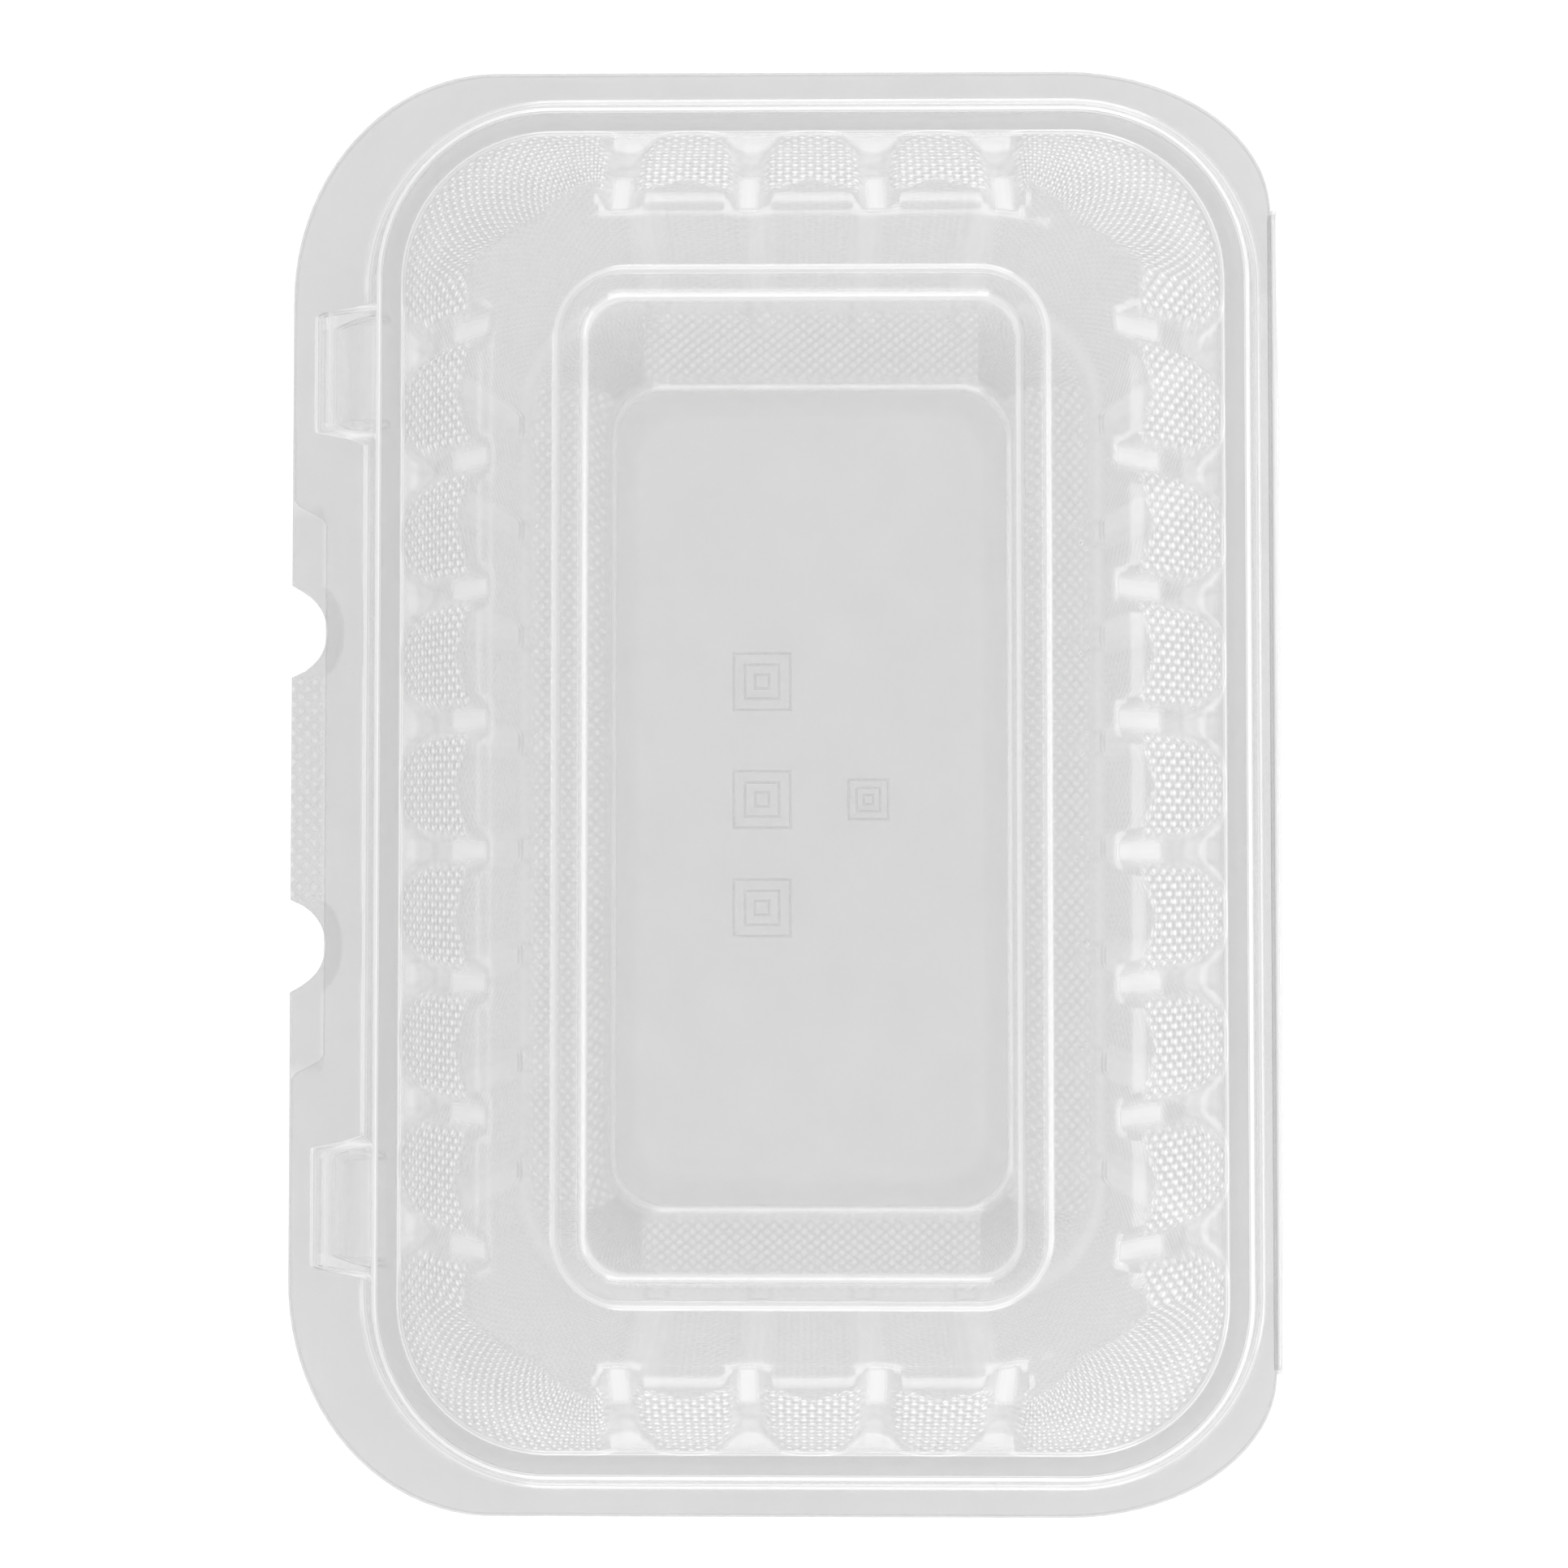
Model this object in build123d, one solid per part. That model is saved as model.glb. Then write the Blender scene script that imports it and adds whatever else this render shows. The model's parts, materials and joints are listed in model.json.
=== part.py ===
"""Hinged-lid food container, pressed from one sheet of clear polypropylene.

Units are millimetres and +Z is up. The origin is on the surface that the container stands
on, under the middle of its whole outline. X runs along the long side. The opening tab and
the snaps are at -Y and the hinge is at +Y. The closed lid lies over the tray, and it turns
about the hinge line at the back.

Everything is first laid out about the middle of the tray, and moved to the origin last.
"""

from build123d import *
import os
from math import atan2, degrees, hypot

# Sheet and fits
SHEET = 0.5  # wall after forming
HINGE_SHEET = 0.3  # pressed thinner so that it bends
FLANGE_GAP = 0.2  # between the two closed flanges
NEST_GAP = 0.35  # between the tray's rim ring and the lid's ring around it

# The lid's ring, which is the step that stands up from its flange
RING_LENGTH = 180.0
RING_WIDTH = 116.4
RING_CORNER = 24.7
RING_HEIGHT = 4.0
RING_LEAN = 2.3  # how far it leans in over its height
LEDGE = 3.1  # flat step on top of the ring

# Flange, whose corners are quarter ellipses
END_FLANGE = 3.5
FRONT_FLANGE = 9.4
FRONT_CORNER_X = 29.8
FRONT_CORNER_Y = 26.4
BACK_CORNER_Y = 27.0

# Living hinge
HINGE_END = 18.5  # from the flange's end to the hinge's end
HINGE_BULGE = 1.3  # radius of the rolled web
BACK_FLANGE = 2.7  # from the ring to the hinge line

# Tray
TRAY_DEPTH = 50.0
TRAY_LEAN = 10.0  # how far the walls lean in from the rim to the floor
FLOOR_CORNER = 17.0
FLOOR_EDGE = 4.0  # height of the slope that joins the floor to the walls
FLOOR_EDGE_LEAN = 2.2
PANEL_END_INSET = 10.4  # from the floor's edge to its raised panel
PANEL_SIDE_INSET = 11.3
PANEL_CORNER = 8.0
PANEL_RISE = 1.3

# Lid dome
LID_HEIGHT = 21.5  # from the flange to the lid's flat top
SHOULDER_DROP = 2.0
DOME_LEAN = 14.5  # how far the dome leans in from the ledge to the shoulder
SHOULDER_CORNER = 16.0
DOME_SHIFT = 1.3  # how far the dome's top lies forward of the ring's middle
BEAD_END_INSET = 7.9  # from the shoulder to the stacking bead
BEAD_SIDE_INSET = 8.7
BEAD_CORNER = 8.4
BEAD_THICKNESS = 3.5
BEAD_RISE = 1.2
BEAD_SLOPE = 0.9  # how far each side of the bead leans in

# Stiffening grooves in the walls of both shells
SIDE_PITCH = 16.0
END_PITCH = 15.6
GROOVE_DEPTH = 1.8
GROOVE_MOUTH = 5.0
GROOVE_BOTTOM = 2.0
TRAY_GROOVE_END = 3.0  # plain wall left at each end of a tray groove
DOME_GROOVE_END = 1.5  # plain wall left at each end of a lid groove

# Snap blisters on the front flange
SNAP_INSET = 11.3  # from the end of the ring's straight front to a blister's middle
SNAP_LENGTH = 16.5
SNAP_REACH = 6.6  # how far a blister stands out from the ring
SNAP_CORNER = 2.5
SNAP_DROP = 1.0  # how far a blister's top lies below the ledge
SNAP_LEAN = 0.6

# Opening tab, between two notches in the lid's front edge, over a recess in the tray's edge
NOTCH_SPACING = 40.6
NOTCH_WIDTH = 10.5
NOTCH_DEPTH = 4.5
RECESS_LENGTH = 75.2
RECESS_DEPTH = 4.2
RECESS_EASE = 3.0  # length of each sloped end of the recess

# Places that follow from the sizes
LID_FLANGE = TRAY_DEPTH + FLANGE_GAP
LID_LEDGE = LID_FLANGE + RING_HEIGHT
TRAY_LEDGE = LID_LEDGE - SHEET - NEST_GAP
FRONT_EDGE = -RING_WIDTH / 2 - FRONT_FLANGE
HINGE_Y = RING_WIDTH / 2 + BACK_FLANGE
HINGE_Z = TRAY_DEPTH + FLANGE_GAP / 2
WEB_Y = HINGE_Y - HINGE_BULGE
FLANGE_LENGTH = RING_LENGTH + 2 * END_FLANGE
HINGE_LENGTH = FLANGE_LENGTH - 2 * HINGE_END
SNAP_X = RING_LENGTH / 2 - RING_CORNER - SNAP_INSET
SNAP_TOP = LID_LEDGE - SNAP_DROP
STUD_INSET = SHEET + NEST_GAP  # the tray's studs lie this far inside the lid's blisters
MIDDLE_Y = (FRONT_EDGE + HINGE_Y) / 2
OVERCUT = 1.0  # how far a cutting solid runs past what it cuts


class Outline:
    """A rounded rectangle lying at a height, whose middle is at y = shift."""

    def __init__(self, length, width, corner, z, shift=0.0):
        self.length = length
        self.width = width
        self.corner = corner
        self.z = z
        self.shift = shift

    def inside(self, inset, rise=0.0, corner=None):
        """A smaller outline, higher by rise. inset is one number, or one for X and one for Y."""
        inset_x, inset_y = inset if isinstance(inset, tuple) else (inset, inset)
        return Outline(
            self.length - 2 * inset_x,
            self.width - 2 * inset_y,
            corner or max(self.corner - inset_x, SHEET),
            self.z + rise,
            self.shift,
        )

    def at(self, z):
        return Outline(self.length, self.width, self.corner, z, self.shift)

    def moved(self, shift):
        return Outline(self.length, self.width, self.corner, self.z, self.shift + shift)

    def face(self):
        plan = RectangleRounded(self.length, self.width, self.corner)
        return Pos(0, self.shift, self.z) * plan

    def reach(self, turn):
        """How far the side that faces +X turned by this angle lies from the middle."""
        if turn in (0, 180):
            return self.length / 2
        return self.width / 2 + (self.shift if turn == 90 else -self.shift)


def tower(*outlines):
    """One solid up through the outlines, with straight slopes between them."""
    stages = [
        loft([low.face(), high.face()], ruled=True) for low, high in zip(outlines, outlines[1:])
    ]
    solid = stages[0]
    for stage in stages[1:]:
        solid += stage
    return solid


def within_sheet(outlines, rise):
    """The outlines one sheet further in, and moved by rise, for the other face of a wall."""
    return [outline.inside(SHEET, rise) for outline in outlines]


def ring_outlines(inset, foot, top):
    """The ring from foot to top, smaller by inset all round."""
    low = Outline(RING_LENGTH, RING_WIDTH, RING_CORNER, foot).inside(inset)
    lean = RING_LEAN * (top - foot) / RING_HEIGHT
    return [low, low.inside(lean, top - foot)]


def dome_outlines():
    """The lid's outside from its ledge to its flat top."""
    ledge = ring_outlines(0.0, LID_FLANGE, LID_LEDGE)[1].inside(LEDGE)
    shoulder_rise = LID_HEIGHT - SHOULDER_DROP - RING_HEIGHT
    shoulder = ledge.inside(DOME_LEAN, shoulder_rise, SHOULDER_CORNER).moved(-DOME_SHIFT)
    top = shoulder.inside((BEAD_END_INSET, BEAD_SIDE_INSET), SHOULDER_DROP, BEAD_CORNER)
    return [ledge, shoulder, top]


def tray_outlines():
    """The tray's outside from the floor to its ledge."""
    rim = dome_outlines()[0].at(TRAY_LEDGE)
    floor = rim.inside(TRAY_LEAN, corner=FLOOR_CORNER).at(0.0)
    foot = floor.inside(-FLOOR_EDGE_LEAN, FLOOR_EDGE)
    return [floor, foot, rim]


def flange_sheet(z):
    """A flange plate lying at z, as far as the hinge lip at its back."""
    half = FLANGE_LENGTH / 2
    front_x = half - FRONT_CORNER_X
    front_y = FRONT_EDGE + FRONT_CORNER_Y
    back_x = half - HINGE_END
    back_y = WEB_Y - BACK_CORNER_Y
    right = [
        Line((0, FRONT_EDGE), (front_x, FRONT_EDGE)),
        EllipticalCenterArc((front_x, front_y), FRONT_CORNER_X, FRONT_CORNER_Y, 270),
        Line((half, front_y), (half, back_y)),
        EllipticalCenterArc((back_x, back_y), HINGE_END, BACK_CORNER_Y),
        Line((back_x, WEB_Y), (0, WEB_Y)),
    ]
    left = [mirror(edge, about=Plane.YZ) for edge in right]
    return extrude(Pos(0, 0, z) * make_face(right + left), SHEET)


def hinge_lip(low, high):
    """The short turned edge that joins a flange to the hinge web."""
    lip = Box(HINGE_LENGTH, SHEET, high - low, align=(Align.CENTER, Align.MAX, Align.MIN))
    return Pos(0, WEB_Y, low) * lip


def snap_blisters(inset, foot, top):
    """The pair of snap blisters from foot to top, smaller by inset."""
    plan = Rectangle(
        SNAP_LENGTH - 2 * inset, SNAP_REACH + LEDGE - inset, align=(Align.CENTER, Align.MIN)
    )
    plan = fillet(plan.vertices().group_by(Axis.Y)[0], SNAP_CORNER)
    lean = degrees(atan2(SNAP_LEAN, SNAP_TOP - LID_FLANGE))
    blister = extrude(plan, top - foot, taper=lean)
    front = -RING_WIDTH / 2 - SNAP_REACH + inset
    return [Pos(side * SNAP_X, front, foot) * blister for side in (-1, 1)]


def groove(low, high, growth):
    """One stiffening groove for a wall that faces +X, as a bar laid down the wall's slope.

    low and high are the distance and the height of the groove's two ends on the wall.
    growth thickens the bar all round, for the back of the sheet.
    """
    run = high[0] - low[0]
    rise = high[1] - low[1]
    slope = Vector(run, 0, rise).normalized()
    place = Plane(origin=(low[0], 0, low[1]), x_dir=(0, 1, 0), z_dir=slope)
    outward = OVERCUT if place.y_dir.X > 0 else -OVERCUT
    inward = -outward / OVERCUT * (GROOVE_DEPTH + growth)
    mouth = GROOVE_MOUTH / 2 + growth
    bottom = GROOVE_BOTTOM / 2 + growth
    section = Polygon(
        (-mouth, outward), (mouth, outward), (bottom, inward), (-bottom, inward), align=None
    )
    bar = extrude(place * section, hypot(run, rise) + 2 * growth)
    return Pos(slope * -growth) * bar


def along(start, stop, share):
    return tuple(a + (b - a) * share for a, b in zip(start, stop))


def grooves(low, high, plain, growth):
    """All the grooves round a wall between two outlines, which leave plain wall at each end."""
    straight_end = RING_WIDTH - 2 * RING_CORNER
    straight_side = RING_LENGTH - 2 * RING_CORNER
    bars = []
    for turn in (0, 90, 180, 270):
        on_end = turn in (0, 180)
        foot = (low.reach(turn), low.z)
        top = (high.reach(turn), high.z)
        pitch = END_PITCH if on_end else SIDE_PITCH
        count = int((straight_end if on_end else straight_side) // pitch)
        share = plain / hypot(top[0] - foot[0], top[1] - foot[1])
        bar = groove(along(foot, top, share), along(foot, top, 1 - share), growth)
        for number in range(count):
            offset = (number - (count - 1) / 2) * pitch
            bars.append(Rot(0, 0, turn) * Pos(0, offset, 0) * bar)
    return bars


def edge_recess():
    """The stretch cut back from the tray's front edge, under the opening tab."""
    half = RECESS_LENGTH / 2
    back = FRONT_EDGE + RECESS_DEPTH
    plan = Polygon(
        (-half, FRONT_EDGE - OVERCUT),
        (half, FRONT_EDGE - OVERCUT),
        (half, FRONT_EDGE),
        (half - RECESS_EASE, back),
        (RECESS_EASE - half, back),
        (-half, FRONT_EDGE),
        align=None,
    )
    return Pos(0, 0, TRAY_DEPTH - SHEET - OVERCUT) * extrude(plan, SHEET + 2 * OVERCUT)


def tab_notches():
    """The two rounded notches beside the opening tab."""
    plan = Ellipse(NOTCH_WIDTH / 2, NOTCH_DEPTH)
    notch = extrude(plan, SHEET / 2 + OVERCUT, both=True)
    middle = LID_FLANGE + SHEET / 2
    return [Pos(side * NOTCH_SPACING / 2, FRONT_EDGE, middle) * notch for side in (-1, 1)]


def make_tray():
    """The lower shell: floor, walls, rim ring, snap studs, flange and hinge lip."""
    underside = TRAY_DEPTH - SHEET
    stud_top = SNAP_TOP - STUD_INSET
    ring = ring_outlines(STUD_INSET, underside, TRAY_LEDGE)
    rim = flange_sheet(underside) + hinge_lip(HINGE_Z - HINGE_BULGE, underside) + tower(*ring)
    rim += snap_blisters(STUD_INSET, underside, stud_top)
    rim -= tower(*within_sheet(ring, -SHEET))
    rim -= snap_blisters(STUD_INSET + SHEET, underside - SHEET, stud_top - SHEET)

    floor, foot, top = tray_outlines()
    wall_grooves = grooves(foot, top, TRAY_GROOVE_END, 0.0)
    inner_grooves = grooves(foot, top, TRAY_GROOVE_END, SHEET)
    panel = floor.inside((PANEL_END_INSET, PANEL_SIDE_INSET), corner=PANEL_CORNER)
    panel_top = panel.inside(PANEL_RISE, PANEL_RISE)
    raised = tower(panel.inside(-SHEET), panel_top.inside(-SHEET, SHEET))
    inner_floor, inner_foot = within_sheet([floor, foot], SHEET)
    inner_top = top.inside(SHEET, OVERCUT)
    food_space = tower(inner_floor, inner_foot, inner_top) - inner_grooves - raised
    shell = rim + (tower(floor, foot, top) - wall_grooves) - food_space
    return shell - tower(panel.at(-OVERCUT), panel, panel_top) - edge_recess()


def make_bead(top):
    """The raised stacking bead round the lid's top, and the channel under it."""
    foot = top.at(top.z - SHEET)
    hole = foot.inside(BEAD_THICKNESS)
    rise = BEAD_RISE + SHEET
    ridge = tower(foot, foot.inside(BEAD_SLOPE, rise))
    ridge -= tower(hole, hole.inside(-BEAD_SLOPE, rise))
    channel = tower(foot.inside(SHEET, -SHEET), foot.inside(BEAD_SLOPE + SHEET, BEAD_RISE))
    channel -= tower(hole.inside(-SHEET, -SHEET), hole.inside(-BEAD_SLOPE - SHEET, BEAD_RISE))
    return ridge, channel


def make_lid():
    """The upper shell: flange with its tab, ring, snap blisters, dome and stacking bead."""
    ring = ring_outlines(0.0, LID_FLANGE, LID_LEDGE)
    ledge, shoulder, top = dome_outlines()
    outside = tower(*ring) + tower(ledge, shoulder, top)
    outside += snap_blisters(0.0, LID_FLANGE, SNAP_TOP)
    outside -= grooves(ledge, shoulder, DOME_GROOVE_END, 0.0)

    inside = tower(*within_sheet(ring, -SHEET)) + tower(*within_sheet((ledge, shoulder, top), -SHEET))
    inside += snap_blisters(SHEET, LID_FLANGE - SHEET, SNAP_TOP - SHEET)
    inside -= grooves(ledge, shoulder, DOME_GROOVE_END, SHEET)

    ridge, channel = make_bead(top)
    lip = hinge_lip(LID_FLANGE + SHEET, HINGE_Z + HINGE_BULGE)
    return flange_sheet(LID_FLANGE) + lip + outside + ridge - inside - channel - tab_notches()


def make_hinge_web():
    """The rolled web, a half tube from the tray's lip round to the lid's lip."""
    tube = Circle(HINGE_BULGE) - Circle(HINGE_BULGE - HINGE_SHEET)
    back_half = Pos(HINGE_BULGE / 2, 0) * Rectangle(HINGE_BULGE, 2 * HINGE_BULGE)
    place = Plane(origin=(-HINGE_LENGTH / 2, WEB_Y, HINGE_Z), x_dir=(0, 1, 0), z_dir=(1, 0, 0))
    return extrude(place * (tube & back_half), HINGE_LENGTH)


os.makedirs("parts", exist_ok=True)
makers = {"base_tray": make_tray, "lid_cover": make_lid, "hinge_web": make_hinge_web}
for name, make in makers.items():
    part = Pos(0, -MIDDLE_Y, 0) * make()
    part.label = name
    export_step(part, f"parts/{name}.step")
    print(name, len(part.solids()), round(part.volume, 1))
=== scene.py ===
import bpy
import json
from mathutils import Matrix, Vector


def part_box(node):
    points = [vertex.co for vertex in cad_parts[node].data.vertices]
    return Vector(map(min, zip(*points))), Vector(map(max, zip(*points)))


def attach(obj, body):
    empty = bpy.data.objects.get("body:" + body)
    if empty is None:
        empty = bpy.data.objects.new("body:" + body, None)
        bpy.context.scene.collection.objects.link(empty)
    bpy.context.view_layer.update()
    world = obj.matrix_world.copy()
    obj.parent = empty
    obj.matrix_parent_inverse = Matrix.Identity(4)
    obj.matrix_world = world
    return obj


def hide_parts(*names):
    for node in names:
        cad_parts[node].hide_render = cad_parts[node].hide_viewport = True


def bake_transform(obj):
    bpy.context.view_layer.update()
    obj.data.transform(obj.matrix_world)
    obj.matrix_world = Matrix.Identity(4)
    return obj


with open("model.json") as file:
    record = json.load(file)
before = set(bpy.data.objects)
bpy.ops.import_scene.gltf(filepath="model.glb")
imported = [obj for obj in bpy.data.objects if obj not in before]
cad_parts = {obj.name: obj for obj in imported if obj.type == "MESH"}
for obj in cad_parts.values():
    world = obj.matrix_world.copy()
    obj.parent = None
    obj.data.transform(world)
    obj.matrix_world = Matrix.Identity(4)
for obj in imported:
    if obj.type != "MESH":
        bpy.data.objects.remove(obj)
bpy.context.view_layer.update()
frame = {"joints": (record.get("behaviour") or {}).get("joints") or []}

import json
from functools import partial
from math import acos, asin, cos, pi, sin, sqrt

import bmesh
import bpy
from mathutils import Matrix, Vector

# ---------------------------------------------------------------------------
# The place: a plain white table under a soft studio sky. The container is seen from
# almost straight above, with its front at the left of the view.
# ---------------------------------------------------------------------------

TABLE_COLOUR = (0.93, 0.93, 0.93, 1.0)
TABLE_ROUGHNESS = 0.9
TABLE_HALF = 0.9
TABLE_GAP = 0.0004  # keeps the tray's feet clear of the table's own surface
SKY_LIGHT = 0.80
SKY_SEEN = 1.1  # the white backdrop behind the table
LIGHTS_AIM = (0, 0, 0.04)
LIGHTS = [  # name, place, length and depth, watts
    ("left_end_light", (-1.0, 0.1, 0.5), (0.72, 0.4), 4.0),
    ("right_end_light", (1.0, 0.1, 0.5), (0.72, 0.4), 4.0),
    ("hinge_light", (0.1, 1.0, 0.55), (0.8, 0.4), 3.6),
    ("front_light", (0.0, -1.2, 1.0), (1.0, 0.4), 2.8),
]
VIEW_HEIGHT = 0.275  # from the flange up to the camera
VIEW_LENS = 48.7
VIEW_PLACE = (0.0066, 0.0026)
VIEW_AIM = (-0.0006, -0.0003)
NEAREST_SEEN = 0.01
CLEAR_LAYERS = 24  # faces of clear sheet that can be seen through, one behind the other

lid_low, lid_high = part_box("lid_cover")


def plain_material(name, colour, roughness):
    material = bpy.data.materials.new(name)
    material.use_nodes = True
    shader = material.node_tree.nodes["Principled BSDF"]
    shader.inputs["Base Color"].default_value = colour
    shader.inputs["Roughness"].default_value = roughness
    return material


def make_table():
    mesh = bpy.data.meshes.new("table")
    bm = bmesh.new()
    bmesh.ops.create_grid(bm, x_segments=1, y_segments=1, size=TABLE_HALF)
    bmesh.ops.translate(bm, verts=bm.verts, vec=(0, 0, -TABLE_GAP))
    bm.to_mesh(mesh)
    bm.free()
    mesh.materials.append(plain_material("table_white", TABLE_COLOUR, TABLE_ROUGHNESS))
    table = bpy.data.objects.new("table", mesh)
    bpy.context.collection.objects.link(table)


def aimed(location, target, up):
    """The turn and place of something at location that looks at target, with up upwards."""
    forward = (Vector(target) - Vector(location)).normalized()
    right = forward.cross(Vector(up)).normalized()
    above = right.cross(forward)
    turn = Matrix((right, above, -forward)).transposed().to_4x4()
    return Matrix.Translation(Vector(location)) @ turn


def soft_light(name, location, size, power):
    data = bpy.data.lights.new(name, "AREA")
    data.shape = "RECTANGLE"
    data.size, data.size_y = size
    data.energy = power
    light = bpy.data.objects.new(name, data)
    light.matrix_world = aimed(location, LIGHTS_AIM, (0, 0, 1))
    bpy.context.collection.objects.link(light)


def make_sky():
    world = bpy.data.worlds.new("studio")
    world.use_nodes = True
    tree = world.node_tree
    sky = tree.nodes["Background"]
    sky.inputs["Color"].default_value = (1.0, 1.0, 1.0, 1.0)
    seen = tree.nodes.new("ShaderNodeLightPath")
    strength = tree.nodes.new("ShaderNodeMath")
    strength.operation = "MULTIPLY_ADD"
    strength.inputs[1].default_value = SKY_SEEN - SKY_LIGHT
    strength.inputs[2].default_value = SKY_LIGHT
    tree.links.new(seen.outputs["Is Camera Ray"], strength.inputs[0])
    tree.links.new(strength.outputs[0], sky.inputs["Strength"])
    bpy.context.scene.world = world


def make_camera():
    data = bpy.data.cameras.new("camera")
    data.lens = VIEW_LENS
    data.clip_start = NEAREST_SEEN
    camera = bpy.data.objects.new("camera", data)
    flange = lid_low[2]
    eye = (*VIEW_PLACE, flange + VIEW_HEIGHT)
    camera.matrix_world = aimed(eye, (*VIEW_AIM, flange), (-1, 0, 0))
    bpy.context.collection.objects.link(camera)
    bpy.context.scene.camera = camera


make_table()
make_sky()
make_camera()
for light_name, light_place, light_size, light_power in LIGHTS:
    soft_light(light_name, light_place, light_size, light_power)
bpy.context.scene.view_settings.view_transform = "Standard"
bpy.context.scene.cycles.transparent_max_bounces = CLEAR_LAYERS

# ---------------------------------------------------------------------------
# Tray: the deep lower half of one sheet of clear polypropylene, drawn down into a cold
# mould. Grooves stiffen its walls, a ring and a flat flange stiffen its rim, and the
# ground texture of the mould stays on the walls and on the border of the floor.
# ---------------------------------------------------------------------------

tray_low, tray_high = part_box("base_tray")
hinge = frame["joints"][0]

SHEET = 0.0005
END_FLANGE = 0.0035
RING_HALF = tray_high[0] - END_FLANGE
RING_SIDE = 0.0582
RING_CORNER = 0.0247
FRONT_FLANGE = 0.0094
MIDDLE_Y = tray_low[1] + FRONT_FLANGE + RING_SIDE
FLANGE_HALF = tray_high[0]
FLANGE_FRONT = RING_SIDE + FRONT_FLANGE
HINGE_Y = hinge["pos_m"][1] - MIDDLE_Y
HINGE_Z = hinge["pos_m"][2]
BULGE = 0.0013  # radius of the rolled hinge web
FLANGE_BACK = HINGE_Y - BULGE
HINGE_HALF = 0.075

SIDE_PITCH = 0.016
END_PITCH = 0.0156
SIDE_GROOVES = 8
END_GROOVES = 4
COLUMNS_PER_PITCH = 20
SIDE_COLUMNS = 79  # each way from the middle of a long side
END_COLUMNS = 33
CORNER_COLUMNS = 28
CORNER_CLEAR = 0.4  # share of a corner's radius that the straight columns stay out of
SIDE_REACH = SIDE_COLUMNS * SIDE_PITCH / COLUMNS_PER_PITCH
END_REACH = END_COLUMNS * END_PITCH / COLUMNS_PER_PITCH


class Column:
    """One vertical line of points on a shell: on an end, on a long side or in a corner.

    place is the distance from the side's middle, or a corner's share from end to side.
    """

    def __init__(self, kind, toward_x, toward_y, place):
        self.kind = kind
        self.toward_x = toward_x
        self.toward_y = toward_y
        self.place = place

    def from_groove(self):
        """The distance to the nearest groove, and how far the column is out into a corner."""
        if self.kind == "corner":
            return SIDE_PITCH / 2, min(self.place, 1 - self.place) * 2
        pitch, count = (SIDE_PITCH, SIDE_GROOVES) if self.kind == "side" else (END_PITCH, END_GROOVES)
        last = (count - 1) / 2
        nearest = min(max(round(self.place / pitch - last % 1) + last % 1, -last), last)
        return abs(self.place - nearest * pitch), 0.0


def make_columns():
    """The columns all round, anticlockwise from the front of the +X end."""
    ends = [i * END_PITCH / COLUMNS_PER_PITCH for i in range(-END_COLUMNS, END_COLUMNS + 1)]
    sides = [i * SIDE_PITCH / COLUMNS_PER_PITCH for i in range(-SIDE_COLUMNS, SIDE_COLUMNS + 1)]
    shares = [(i + 1) / (CORNER_COLUMNS + 1) for i in range(CORNER_COLUMNS)]
    columns = [Column("end", 1, 1 if y > 0 else -1, y) for y in ends]
    columns += [Column("corner", 1, 1, share) for share in shares]
    columns += [Column("side", 1 if x > 0 else -1, 1, x) for x in reversed(sides)]
    columns += [Column("corner", -1, 1, share) for share in reversed(shares)]
    columns += [Column("end", -1, 1 if y > 0 else -1, y) for y in reversed(ends)]
    columns += [Column("corner", -1, -1, share) for share in shares]
    columns += [Column("side", 1 if x > 0 else -1, -1, x) for x in sides]
    columns += [Column("corner", 1, -1, share) for share in reversed(shares)]
    return columns


columns = make_columns()


class Outline:
    """A rounded rectangle in plan, whose front and back may differ. Corners are (x, y) radii."""

    def __init__(self, half, front, back, front_corner, back_corner):
        self.half = half
        self.edges = {-1: front, 1: back}
        self.corners = {-1: front_corner, 1: back_corner}

    def spot(self, column):
        """Where the column stands on the outline, from the tray's middle."""
        edge = self.edges[column.toward_y]
        corner_x, corner_y = self.corners[column.toward_y]
        straight_x, straight_y = self.half - corner_x, edge - corner_y
        squeeze_x = min(1.0, (self.half - CORNER_CLEAR * corner_x) / SIDE_REACH)
        squeeze_y = min(1.0, (edge - CORNER_CLEAR * corner_y) / END_REACH)
        if column.kind == "end":
            y = column.place * squeeze_y
            x = self.half - fallen(abs(y) - straight_y, corner_y, corner_x)
            return x * column.toward_x, y
        if column.kind == "side":
            x = column.place * squeeze_x
            y = edge - fallen(abs(x) - straight_x, corner_x, corner_y)
            return x, y * column.toward_y
        start_y, stop_x = END_REACH * squeeze_y, SIDE_REACH * squeeze_x
        start = asin(min(max((start_y - straight_y) / corner_y, 0.0), 1.0))
        stop = acos(min(max((stop_x - straight_x) / corner_x, 0.0), 1.0))
        before, after = max(straight_y - start_y, 0.0), max(straight_x - stop_x, 0.0)
        bend = (corner_x + corner_y) / 2 * (stop - start)
        way = column.place * (before + bend + after)
        if way < before:
            x, y = self.half, start_y + way
        elif way < before + bend:
            angle = start + (stop - start) * (way - before) / bend
            x, y = straight_x + corner_x * cos(angle), straight_y + corner_y * sin(angle)
        else:
            x, y = stop_x + before + bend + after - way, edge
        return x * column.toward_x, y * column.toward_y


def fallen(past, reach, depth):
    """How far a quarter ellipse has fallen away, a distance past its start."""
    share = min(max(past / reach, 0.0), 1.0)
    return depth * (1 - sqrt(1 - share * share))


def ease(low, high, value):
    share = min(max((value - low) / (high - low), 0.0), 1.0)
    return share * share * (3 - 2 * share)


def mix(a, b, share):
    return a + (b - a) * share


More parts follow.
